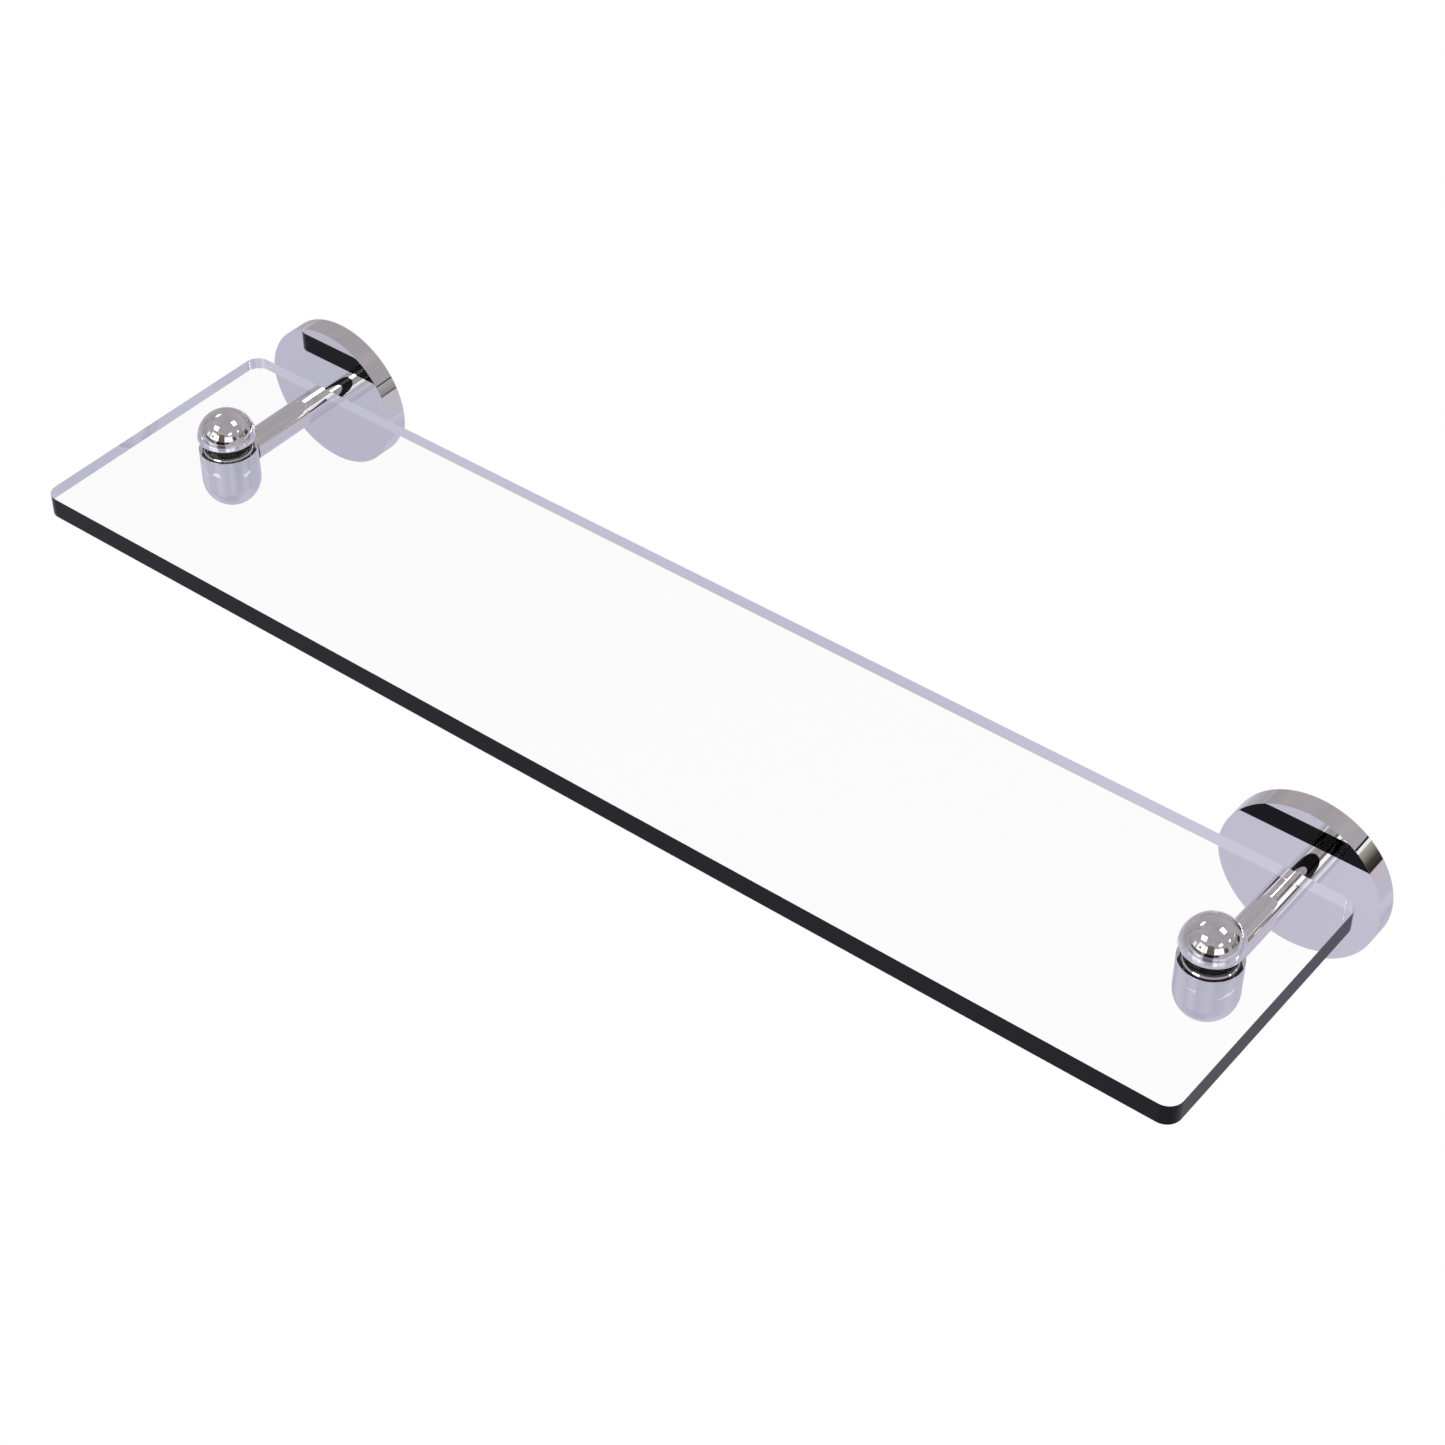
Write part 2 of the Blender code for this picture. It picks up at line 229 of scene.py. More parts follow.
def soften(corners, closed=False):
    """Outline points with each (radius, height, fillet) corner rounded to its own fillet."""
    points = []
    for index, (radius, height, fillet) in enumerate(corners):
        here = Vector((radius, height))
        at_end = not closed and index in (0, len(corners) - 1)
        if fillet == 0 or at_end:
            points.append(here)
            continue
        before = Vector(corners[index - 1][:2])
        after = Vector(corners[(index + 1) % len(corners)][:2])
        to_before = (before - here).normalized()
        to_after = (after - here).normalized()
        half = to_before.angle(to_after) / 2
        centre = here + (to_before + to_after).normalized() * fillet / math.sin(half)
        start = here + to_before * fillet / math.tan(half) - centre
        end = here + to_after * fillet / math.tan(half) - centre
        first = math.atan2(start.y, start.x)
        sweep = math.atan2(start.cross(end), start.dot(end))
        for step in range(FILLET_STEPS + 1):
            angle = first + sweep * step / FILLET_STEPS
            points.append(centre + fillet * Vector((math.cos(angle), math.sin(angle))))
    return points


def sphere_outline(radius, centre_height, sign, base_height):
    """Outline points of a sphere from just past its base up, or down, to the pole on the axis."""
    first = math.asin(sign * (base_height - centre_height) / radius)
    points = []
    for step in range(1, DOME_STEPS):
        angle = first + (math.pi / 2 - first) * step / DOME_STEPS
        height = centre_height + sign * radius * math.sin(angle)
        points.append(Vector((radius * math.cos(angle), height)))
    return points + [Vector((0, centre_height + sign * radius))]


def turned_mesh(name, outline, facets, material=None):
    """A mesh turned about local Z. Outlines that don't start on the axis close on themselves."""
    bm = bmesh.new()
    points = [bm.verts.new((point[0], 0, point[1])) for point in outline]
    edges = [bm.edges.new(pair) for pair in zip(points, points[1:])]
    if outline[0][0] > 0:
        edges.append(bm.edges.new((points[-1], points[0])))
    bmesh.ops.spin(
        bm,
        geom=points + edges,
        axis=(0, 0, 1),
        cent=(0, 0, 0),
        angle=math.tau,
        steps=facets,
        use_merge=True,
    )
    bmesh.ops.remove_doubles(bm, verts=bm.verts, dist=MERGE_DISTANCE)
    return closed_mesh(bm, name, [material] if material else [])


def threaded_mesh(name, rings, pitch, facets, material):
    """A capped stack of rings. Each ring is (height, radius, thread depth): the thread's groove
    winds round as the height grows, a full turn for each pitch."""
    bm = bmesh.new()
    loops = []
    for height, radius, depth in rings:
        loop = []
        for facet in range(facets):
            angle = math.tau * facet / facets
            groove = 0.5 + 0.5 * math.cos(math.tau * height / pitch - angle)
            reach = radius - depth * groove
            loop.append(bm.verts.new((reach * math.cos(angle), reach * math.sin(angle), height)))
        loops.append(loop)
    join_loops(bm, loops, 0)
    bm.faces.new(loops[0])
    bm.faces.new(loops[-1])
    return closed_mesh(bm, name, [material])


def join_loops(bm, loops, material_index):
    """Bands of faces from each loop of vertices to the next."""
    for lower, upper in zip(loops, loops[1:]):
        for index in range(len(lower)):
            beside = (index + 1) % len(lower)
            face = bm.faces.new((lower[index], lower[beside], upper[beside], upper[index]))
            face.material_index = material_index


def thread_rings(low, high, radius, depth, pitch):
    """Rings of a threaded length, whose ends are chamfered to the thread's root."""
    length = high - low - 2 * depth
    count = round(length / pitch * RINGS_PER_TURN)
    rings = [(low, radius - depth, 0.0)]
    for step in range(count + 1):
        rings.append((low + depth + length * step / count, radius, depth))
    rings.append((high, radius - depth, 0.0))
    return rings


def cylinder(radius, low, high, location, rotation=(0, 0, 0), facets=SMALL_FACETS):
    outline = [(0, low), (radius, low), (radius, high), (0, high)]
    return place(turned_mesh("cutter", outline, facets), location, rotation)


def cut(obj, cutter, operation="DIFFERENCE"):
    """Takes the cutter's shape out of obj for good, or keeps only what they share, and removes
    the cutter."""
    modifier = obj.modifiers.new("cut", "BOOLEAN")
    modifier.operation = operation
    modifier.object = cutter
    bpy.context.view_layer.update()
    evaluated = obj.evaluated_get(bpy.context.evaluated_depsgraph_get())
    mesh = bpy.data.meshes.new_from_object(evaluated)
    mesh.name = obj.name
    obj.modifiers.clear()
    obj.data = mesh
    bpy.data.objects.remove(cutter)


def smooth(obj):
    """Smooth shading up to the sharp angle, with flat faces kept flat beside small roundings."""
    obj.data.shade_smooth()
    obj.data.set_sharp_from_angle(angle=SHARP_ANGLE)
    modifier = obj.modifiers.new("weighted_normals", "WEIGHTED_NORMAL")
    modifier.mode = "FACE_AREA"
    modifier.weight = 100
    modifier.keep_sharp = True


def keep(obj, node, body):
    """The finished piece stands for its CAD node and moves with that node's body."""
    smooth(obj)
    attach(obj, body)
    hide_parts(node)


def middle(node):
    low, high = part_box(node)
    return (low + high) / 2


def half_width(node):
    low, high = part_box(node)
    return (high.x - low.x) / 2


# ---------------------------------------------------------------- camera and stage


def make_camera():
    data = bpy.data.cameras.new("camera")
    data.lens = LENS_MM
    data.sensor_width = SENSOR_MM
    data.clip_start = 0.01
    data.clip_end = 500.0
    camera = bpy.data.objects.new("camera", data)
    bpy.context.scene.collection.objects.link(camera)
    turn = (
        Matrix.Rotation(CAMERA_YAW, 4, "Z")
        @ Matrix.Rotation(math.pi / 2 - CAMERA_PITCH, 4, "X")
        @ Matrix.Rotation(-CAMERA_ROLL, 4, "Z")
    )
    camera.matrix_world = Matrix.Translation(CAMERA_POSITION) @ turn
    bpy.context.scene.camera = camera


FLOOR_Z = -2.0
FLOOR_RADIUS = 24.0
WHITE = (1.0, 1.0, 1.0)
LAVENDER = (0.555, 0.545, 0.665)
PALE_LAVENDER = (0.625, 0.61, 0.73)
DEEP_LAVENDER = (0.485, 0.48, 0.60)
WALL_GREY = (0.40, 0.37, 0.385)
CEILING_GREY = (0.415, 0.385, 0.405)
# Tones of the mirrored room, from straight down at 0 to straight up at 1.
ROOM_TONES = ((0.0, LAVENDER), (0.49, LAVENDER), (0.52, WALL_GREY), (0.8, CEILING_GREY))
# Scales of the clouds in the mirrored floor and room, and how dark and light the room's are.
FLOOR_CLOUDS = 0.5
ROOM_CLOUDS = 1.7
ROOM_SHADES = (0.84, 1.16)


def make_floor():
    """A paper-white floor, which polished metal and glass edges mirror as pale lavender."""
    material = bpy.data.materials.new("floor")
    tree = new_shader_tree(material)
    emission = tree.nodes.new("ShaderNodeEmission")
    patches = noise(tree, FLOOR_CLOUDS, detail=1.0)
    patches = remap(tree, patches, 0.0, 1.0, from_low=0.35, from_high=0.65)
    clouds = mix_colours(tree, patches, PALE_LAVENDER, DEEP_LAVENDER)
    tree.links.new(mix_colours(tree, mirrored(tree), WHITE, clouds), emission.inputs["Color"])
    set_surface(tree, emission)
    bm = bmesh.new()
    bmesh.ops.create_circle(bm, cap_ends=True, segments=SMALL_FACETS, radius=FLOOR_RADIUS)
    floor = place(new_mesh(bm, "floor", [material]), (0, 0, FLOOR_Z))


def make_world():
    """Grey walls and ceiling for what polished metal mirrors, and plain white for all else."""
    world = bpy.data.worlds.new("studio")
    bpy.context.scene.world = world
    world.use_nodes = True
    tree = world.node_tree
    direction = tree.nodes.new("ShaderNodeTexCoord").outputs["Generated"]
    split = tree.nodes.new("ShaderNodeSeparateXYZ")
    tree.links.new(direction, split.inputs[0])
    ramp = tree.nodes.new("ShaderNodeValToRGB")
    tones = ramp.color_ramp.elements
    for index, (position, colour) in enumerate(ROOM_TONES):
        # A new ramp comes with its first two tones.
        tone = tones[index] if index < 2 else tones.new(1.0)
        tone.position = position
        tone.color = (*colour, 1.0)
    height = math_node(tree, "MULTIPLY_ADD", split.outputs["Z"], 0.5, 0.5)
    tree.links.new(height, ramp.inputs[0])
    shade = remap(tree, noise(tree, ROOM_CLOUDS, coordinates="Generated"), *ROOM_SHADES)
    room = tree.nodes.new("ShaderNodeVectorMath")
    room.operation = "SCALE"
    tree.links.new(ramp.outputs[0], room.inputs[0])
    tree.links.new(shade, room.inputs["Scale"])
    colour = mix_colours(tree, mirrored(tree), WHITE, room.outputs[0])
    tree.links.new(colour, tree.nodes["Background"].inputs["Color"])


def soft_edge(tree, coordinate, softness):
    """1 in the middle of a card and 0 at its edges, along one coordinate from 0 to 1."""
    from_middle = math_node(tree, "ABSOLUTE", math_node(tree, "SUBTRACT", coordinate, 0.5))
    inside = math_node(tree, "SUBTRACT", 0.5, from_middle)
    return math_node(tree, "DIVIDE", inside, softness, clamp=True)


def card_material(name, low_colour, high_colour, softness, strength, echo_strength):
    """Light of a studio card, shading from its low edge to its high edge. Only mirrors show it.
    Where a mirror is itself mirrored in the glass, the card has its echo strength."""
    material = bpy.data.materials.new(name)
    tree = new_shader_tree(material)
    split = tree.nodes.new("ShaderNodeSeparateXYZ")
    tree.links.new(tree.nodes.new("ShaderNodeUVMap").outputs[0], split.inputs[0])
    emission = tree.nodes.new("ShaderNodeEmission")
    extra = echo_strength - strength
    power = math_node(tree, "MULTIPLY_ADD", seen_in_glass(tree), extra, strength)
    tree.links.new(power, emission.inputs["Strength"])
    colour = mix_colours(tree, split.outputs["Y"], low_colour, high_colour)
    tree.links.new(colour, emission.inputs["Color"])
    across = soft_edge(tree, split.outputs["X"], softness)
    upwards = soft_edge(tree, split.outputs["Y"], softness)
    shape = math_node(tree, "MULTIPLY", across, upwards)
    shown = math_node(tree, "MULTIPLY", mirrored(tree), shape)
    unseen = tree.nodes.new("ShaderNodeBsdfTransparent")
    set_surface(tree, mix_shaders(tree, shown, unseen, emission))
    return material


def stage_card(name, centre, across, up, colours, softness, strength=1.0, echo_strength=1.0):
    """A flat card, reaching from its centre by across and up and by as much the other way."""
    bm = bmesh.new()
    uv_layer = bm.loops.layers.uv.new("UVMap")
    corners = ((-1, -1), (1, -1), (1, 1), (-1, 1))
    points = [bm.verts.new(centre + across * x + up * y) for x, y in corners]
    card_face = bm.faces.new(points)
    for loop, (x, y) in zip(card_face.loops, corners):
        loop[uv_layer].uv = ((x + 1) / 2, (y + 1) / 2)
    material = card_material(name, *colours, softness, strength, echo_strength)
    card = place(new_mesh(bm, name, [material]), (0, 0, 0))
    card.visible_camera = False
    card.visible_diffuse = False
    card.visible_shadow = False


# Height of the ceiling, which is also how far off the nearest wall card stands, and how far off
# the nearest floor card stands.
ROOM = 14.0
NEAR_ROOM = 3.6
# Softboxes in the ceiling, as the centre and size of each in shares of the ceiling's height.
SOFTBOXES = (
    (-1.08, 0.40, 0.36, 0.38),
    (0.33, 0.45, 0.40, 0.38),
    (1.26, 0.43, 0.26, 0.25),
    (-0.36, -0.68, 0.48, 0.44),
    (0.97, -0.47, 0.29, 0.37),
)
SOFTBOX_STRENGTH = 2.2
SOFTBOX_ECHO = 10.0
# Dark seams between ceiling panels, in the same shares, a step above the softboxes.
SEAMS = ((-1.1, -0.06, 2.6, 0.035), (0.6, -0.03, 1.2, 0.02))
SEAM_GREY = (0.20, 0.185, 0.195)
SEAM_SOFTNESS = 0.3
SEAM_STEP = 0.15
# Cards round the horizon: azimuths in degrees from +Y towards +X, heights as shares of the
# distance, the colours of the low and high edges, and the softness of the edges.
BRIGHT = (1.3, 1.3, 1.3)
DARK = (0.09, 0.085, 0.085)
CRISP = 0.04
WALL_CARDS = (
    ("window_left", -180, -151, 0.22, 0.80, BRIGHT, BRIGHT, 0.10),
    ("window_left_post", -169, -157, 0.34, 0.56, (0.14, 0.14, 0.15), (0.2, 0.2, 0.21), 0.3),
    ("window_left_narrow", -148, -133, 0.21, 0.55, (1.0, 1.0, 1.02), (0.8, 0.78, 0.78), 0.2),
    ("skirting_left", -180, -130, 0.09, 0.21, DARK, DARK, 0.15),
    ("window_right", 110, 145, 0.25, 0.68, BRIGHT, BRIGHT, 0.06),
    ("window_right_bar", 127, 128.5, 0.25, 0.68, (0.55, 0.55, 0.57), (0.5, 0.5, 0.52), CRISP),
    ("window_far_right", 170, 180, 0.25, 0.72, BRIGHT, BRIGHT, CRISP),
    ("door", 144, 171.5, 0.26, 0.90, (0.12, 0.10, 0.08), (0.17, 0.145, 0.105), CRISP),
    ("door_head", 143, 172, 0.87, 0.92, (0.09, 0.08, 0.07), (0.09, 0.08, 0.07), CRISP),
    ("door_step", 143, 178, 0.04, 0.27, (0.014, 0.012, 0.016), (0.014, 0.012, 0.016), 0.08),
    ("door_step_side", 128, 145, 0.10, 0.25, (0.03, 0.03, 0.035), (0.03, 0.03, 0.035), 0.12),
    ("cabinet_right", 94, 111, 0.23, 0.58, (0.07, 0.065, 0.07), (0.14, 0.13, 0.13), 0.12),
    ("shelves", 57, 83, 0.19, 0.46, (0.25, 0.235, 0.21), (0.30, 0.28, 0.25), 0.15),
    ("shelves_dark", 60, 69, 0.19, 0.32, (0.12, 0.11, 0.11), (0.12, 0.11, 0.11), 0.3),
    ("shelves_box", 73, 81, 0.22, 0.45, (0.13, 0.12, 0.11), (0.13, 0.12, 0.11), 0.3),
    ("cabinet_far_low", 34, 51, 0.07, 0.25, (0.020, 0.017, 0.015), (0.07, 0.06, 0.05), 0.02),
    ("cabinet_far", 34, 51, 0.23, 0.46, (0.07, 0.06, 0.05), (0.45, 0.44, 0.38), 0.02),
    ("cabinet_light", 34, 47, 0.455, 0.52, (0.95, 0.95, 0.95), (0.95, 0.95, 0.95), CRISP),
    ("cabinet_top", 32, 45, 0.52, 0.56, (0.02, 0.02, 0.02), (0.02, 0.02, 0.02), CRISP),
    ("mid_panel", 52, 60, 0.10, 0.35, (0.27, 0.25, 0.25), (0.45, 0.43, 0.44), 0.02),
    ("upper_rail", 51, 62, 0.335, 0.37, (0.05, 0.05, 0.05), (0.05, 0.05, 0.05), CRISP),
    ("lower_rail", 51, 62, 0.085, 0.115, (0.10, 0.09, 0.10), (0.10, 0.09, 0.10), CRISP),
    ("wall_corner_low", -95, -92.5, -0.10, 0.55, (0.20, 0.19, 0.20), (0.27, 0.25, 0.26), 0.3),
    ("wall_corner_high", -98, -95.5, 0.5, 1.1, (0.27, 0.25, 0.26), (0.30, 0.28, 0.29), 0.3),
)
# The same for low cards that stand for the floor near the walls.
FLOOR_CARDS = (
    ("wall_back_left", -120, -88, -0.62, 0.0, LAVENDER, WALL_GREY, 0.02),
    ("wall_back", -88, -58, -0.62, 0.0, LAVENDER, WALL_GREY, 0.02),
    ("wall_back_right", -58, -28, -0.62, 0.0, LAVENDER, WALL_GREY, 0.02),
    ("pink_floor", 34, 64, -0.45, 0.09, LAVENDER, (0.60, 0.54, 0.58), 0.02),
    ("window_glow_left", -186, -150, -0.55, 0.05, (0.90, 0.88, 1.0), (1.05, 1.04, 1.1), 0.15),
    ("window_glow_right", 128, 146, -0.55, -0.02, (0.9, 0.89, 1.0), (1.05, 1.05, 1.1), 0.2),
    ("window_glow_mid", 106, 128, -0.50, 0.0, (0.80, 0.78, 0.92), (0.8, 0.8, 0.9), 0.2),
    ("door_shadow", 144, 176, -0.26, 0.045, (0.42, 0.41, 0.47), (0.09, 0.09, 0.10), 0.12),
    ("lamp_glow", 63, 80, -0.44, -0.22, (1.0, 1.0, 1.05), (1.0, 1.0, 1.05), 0.3),
)
# How much further off each upright card stands than the next, as a share of the nearest's place.
CARD_SPACING = 0.01


def ceiling_card(name, shape, height, colour, softness, *strengths):
    """A level card at a height, shaped by its (x, y, width, depth) in shares of that height."""
    x, y, width, depth = shape
    centre = Vector((x, y, 1)) * height
    across = Vector((width / 2, 0, 0)) * height
    along = Vector((0, -depth / 2, 0)) * height
    stage_card(name, centre, across, along, (colour, colour), softness, *strengths)


def make_ceiling():
    """The softboxes and, a little above them, the seams."""
    for index, shape in enumerate(SOFTBOXES):
        strengths = (SOFTBOX_STRENGTH, SOFTBOX_ECHO)
        ceiling_card(f"softbox_{index}", shape, ROOM, WHITE, CRISP, *strengths)
    for index, shape in enumerate(SEAMS):
        height = ROOM + SEAM_STEP * (index + 1)
        ceiling_card(f"seam_{index}", shape, height, SEAM_GREY, SEAM_SOFTNESS)


def make_cards(cards, nearest):
    """Upright cards. Each stands a step further off than the next, which it may lie behind."""
    for index, (name, start, end, low, high, low_colour, high_colour, soft) in enumerate(cards):
        azimuth = math.radians((start + end) / 2)
        half = math.radians((end - start) / 2)
        outwards = Vector((math.sin(azimuth), math.cos(azimuth), 0))
        sideways = Vector((math.cos(azimuth), -math.sin(azimuth), 0))
        distance = nearest + (len(cards) - index) * nearest * CARD_SPACING
        stage_card(
            name,
            (outwards + Vector((0, 0, (low + high) / 2))) * distance,
            sideways * math.tan(half) * distance,
            Vector((0, 0, (high - low) / 2)) * distance,
            (low_colour, high_colour),
            soft,
        )


# ---------------------------------------------------------------- materials


def new_material(name, colour, roughness, metallic=0.0):
    material = bpy.data.materials.new(name)
    material.use_nodes = True
    shader = material.node_tree.nodes["Principled BSDF"]
    shader.inputs["Base Color"].default_value = (*colour, 1.0)
    shader.inputs["Roughness"].default_value = roughness
    shader.inputs["Metallic"].default_value = metallic
    return material, material.node_tree, shader


def chrome_material():
    """Bright chrome plate: a mirror with the faintest uneven polish."""
    material, tree, shader = new_material("chrome_plate", (0.87, 0.868, 0.875), 0.006, 1.0)
    haze = noise(tree, scale=90.0, detail=5.0)
    tree.links.new(remap(tree, haze, 0.0, 0.006), shader.inputs["Roughness"])
    return material


GLASS_INDEX = 1.30


def glass_material(name, roughness):
    material, tree, shader = new_material(name, WHITE, roughness)
    shader.inputs["Transmission Weight"].default_value = 1.0
    shader.inputs["IOR"].default_value = GLASS_INDEX
    return material, tree, shader


def paint_edge_shade_from_outside(tree, inner_shader):
    """Light that enters a polished edge is trapped between the faces. So from outside the edge is
    painted as black glass with a clear reflection, a painted shade for that trapped light, and from
    inside it is a plain glass face."""
    painted_shade_shader = tree.nodes.new("ShaderNodeBsdfPrincipled")
    # Painted shade: from outside the edge is black glass, standing in for the light trapped in the
    # panel.
    painted_shade_shader.inputs["Base Color"].default_value = (0.0, 0.0, 0.0, 1.0)
    painted_shade_shader.inputs["IOR"].default_value = GLASS_INDEX
    lines = noise(tree, scale=60.0, detail=2.0, stretch=(1.0, 1.0, 40.0))
    tree.links.new(remap(tree, lines, 0.0, 0.02), painted_shade_shader.inputs["Roughness"])
    from_inside = tree.nodes.new("ShaderNodeNewGeometry").outputs["Backfacing"]
    blend = mix_shaders(tree, from_inside, painted_shade_shader, inner_shader)
    output = tree.nodes["Material Output"]
    tree.links.new(blend.outputs[0], output.inputs["Surface"])


# Where each of the glass's materials comes in its mesh.
EDGE_SLOT = 1
HOLE_SLOT = 2


def glass_materials():
    """Polished faces, polished edges with faint grinding lines and painted shade from outside, and
    ground hole walls.
    """
    faces, _, _ = glass_material("glass_face", 0.0)
    edges, tree, shader = glass_material("glass_edge_with_painted_shade", 0.0)
    paint_edge_shade_from_outside(tree, shader)
    holes, tree, shader = glass_material("glass_ground", 0.4)
    add_bump(tree, shader, noise(tree, scale=2500.0), strength=0.3, distance=0.0001)
    return faces, edges, holes


def rubber_material():
    """Matt black rubber with a fine mottled grain."""
    material, tree, shader = new_material("black_rubber", (0.008, 0.008, 0.009), 0.6)
    shader.inputs["Specular IOR Level"].default_value = 0.2
    mottle = noise(tree, scale=900.0, detail=4.0)
    tree.links.new(remap(tree, mottle, 0.5, 0.75), shader.inputs["Roughness"])
    grain = noise(tree, scale=3000.0, detail=4.0)
    add_bump(tree, shader, grain, strength=0.35, distance=0.00008)
    return material


def nylon_material():
    """Natural nylon: off-white, and lit through a little below its surface."""
    material, tree, shader = new_material("natural_nylon", (0.86, 0.85, 0.80), 0.4)
    shader.inputs["Subsurface Weight"].default_value = 0.3
    shader.inputs["Subsurface Scale"].default_value = 0.002
    grain = noise(tree, scale=1500.0, detail=4.0)
    add_bump(tree, shader, grain, strength=0.2, distance=0.00005)
    return material


WARM_TINT = (1.06, 1.02, 0.92)
COOL_TINT = (0.88, 0.92, 1.0)


def steel_material(name, colour, scale, stretch):
    """Zinc-plated steel with cloudy plating and fine turning or rolling marks."""
    material, tree, shader = new_material(name, colour, 0.3, 1.0)
    clouds = noise(tree, scale, detail=4.0)
    warm = tuple(channel * tint for channel, tint in zip(colour, WARM_TINT))
    cool = tuple(channel * tint for channel, tint in zip(colour, COOL_TINT))
    tree.links.new(mix_colours(tree, clouds, cool, warm), shader.inputs["Base Color"])
    marks = noise(tree, scale * 4, stretch=stretch)
    tree.links.new(remap(tree, marks, 0.2, 0.42), shader.inputs["Roughness"])
    add_bump(tree, shader, marks, strength=0.15, distance=0.00003)
    return material


# ---------------------------------------------------------------- pieces

# Turns a piece made along local Z so that it points from the wall into the room.
OUT_OF_WALL = (math.pi / 2, 0, 0)


def circle(centre, radius):
    points = []
    for step in range(SMALL_FACETS):
        angle = math.tau * step / SMALL_FACETS
        x = centre.x + radius * math.cos(angle)
        points.append(Vector((x, centre.y + radius * math.sin(angle))))
    return points


# How far a straight side's own points lie from its corners' arcs, which keeps the arcs' shading
# off the side.
SIDE_SUPPORT = 0.0002


def rounded_rectangle(low, high, radius, inset):
    """Corner arcs of a rectangle drawn in by inset, with a point just before and after each arc."""
    points = []
    corners = (
        (high.x - radius, high.y - radius),
        (low.x + radius, high.y - radius),
        (low.x + radius, low.y + radius),
        (high.x - radius, low.y + radius),
    )
    reach = radius - inset
    for quarter, corner in enumerate(corners):
        centre = Vector(corner)
        start = math.pi / 2 * quarter
        along = Vector((math.sin(start), -math.cos(start))) * SIDE_SUPPORT
        points.append(centre + along + reach * Vector((math.cos(start), math.sin(start))))
        for step in range(CORNER_STEPS + 1):
            angle = start + math.pi / 2 * step / CORNER_STEPS
            points.append(centre + reach * Vector((math.cos(angle), math.sin(angle))))
        end = start + math.pi / 2
        along = Vector((-math.sin(end), math.cos(end))) * SIDE_SUPPORT
        points.append(centre + along + reach * Vector((math.cos(end), math.sin(end))))
    return points


def make_glass(materials):
    """The panel as stacked rings: its edge with a fine arris, the drilled holes, and flat faces."""
    low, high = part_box("glass_shelf")
    bm = bmesh.new()
    levels = (
        (low.z, GLASS_ARRIS),
        (low.z + GLASS_ARRIS, 0.0),
        (high.z - GLASS_ARRIS, 0.0),
        (high.z, GLASS_ARRIS),
    )

    def wall_of(outlines, material_index):
        """A wall through one outline at each level. Returns its lowest and highest loops."""
        loops = [
            [bm.verts.new((point.x, point.y, height)) for point in outline]
            for (height, _), outline in zip(levels, outlines)
        ]
        join_loops(bm, loops, material_index)
        return loops[0], loops[-1]

    edge = [rounded_rectangle(low, high, GLASS_CORNER, inset) for _, inset in levels]
    walls = [wall_of(edge, EDGE_SLOT)]
    for side in SIDES:
        sleeve = f"{side}_glass_sleeve"
        radius = half_width(sleeve) + CLEARANCE
        hole = [circle(middle(sleeve), radius + inset) for _, inset in levels]
        walls.append(wall_of(hole, HOLE_SLOT))
    for rims in zip(*walls):
        edges = []
        for rim in rims:
            for index, vertex in enumerate(rim):
                edges.append(bm.edges.get((vertex, rim[(index + 1) % len(rim)])))
        bmesh.ops.triangle_fill(bm, edges=edges, use_beauty=True)
    glass = place(closed_mesh(bm, "glass_panel", materials), (0, 0, 0))
    keep(glass, "glass_shelf", "frame")


def make_rosette(side, material):
    """Hollow round cover with a flat face and a hole underneath for its set screw."""
    node = f"{side}_rosette"
    low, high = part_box(node)
    centre = middle(node)
    radius = half_width(node)
    depth = high.y - low.y
    inner = radius - ROSETTE_RIM
    floor = depth - ROSETTE_FACE
    hole = half_width(f"{side}_post_stud") + CLEARANCE
    corners = [
        (hole, floor, 0),
        (inner, floor, SOFT_EDGE),
        (inner, 0, CRISP_EDGE),
        (radius, 0, CRISP_EDGE),
        (radius, depth, ROSETTE_EDGE),
        (radius - 2 * SOFT_EDGE, depth, 0),
        (hole, depth, 0),
    ]
    mesh = turned_mesh(f"{side}_rosette_cover", soften(corners, True), FACETS, material)
    rosette = place(mesh, (centre.x, high.y, centre.z), OUT_OF_WALL)
    screw = middle(f"{side}_rosette_set_screw")
    at_screw = (screw.x, screw.y, centre.z)
    cut(rosette, cylinder(SET_SCREW_HOLE, -radius - SOFT_EDGE, -inner + SOFT_EDGE, at_screw))
    keep(rosette, node, "frame")


# Half heights of the upright cutters that shape a post's front end and the black ring of painted
# shade that sits there.
SADDLE_CUTTER = 0.02
LONG_SADDLE_CUTTER = 0.03


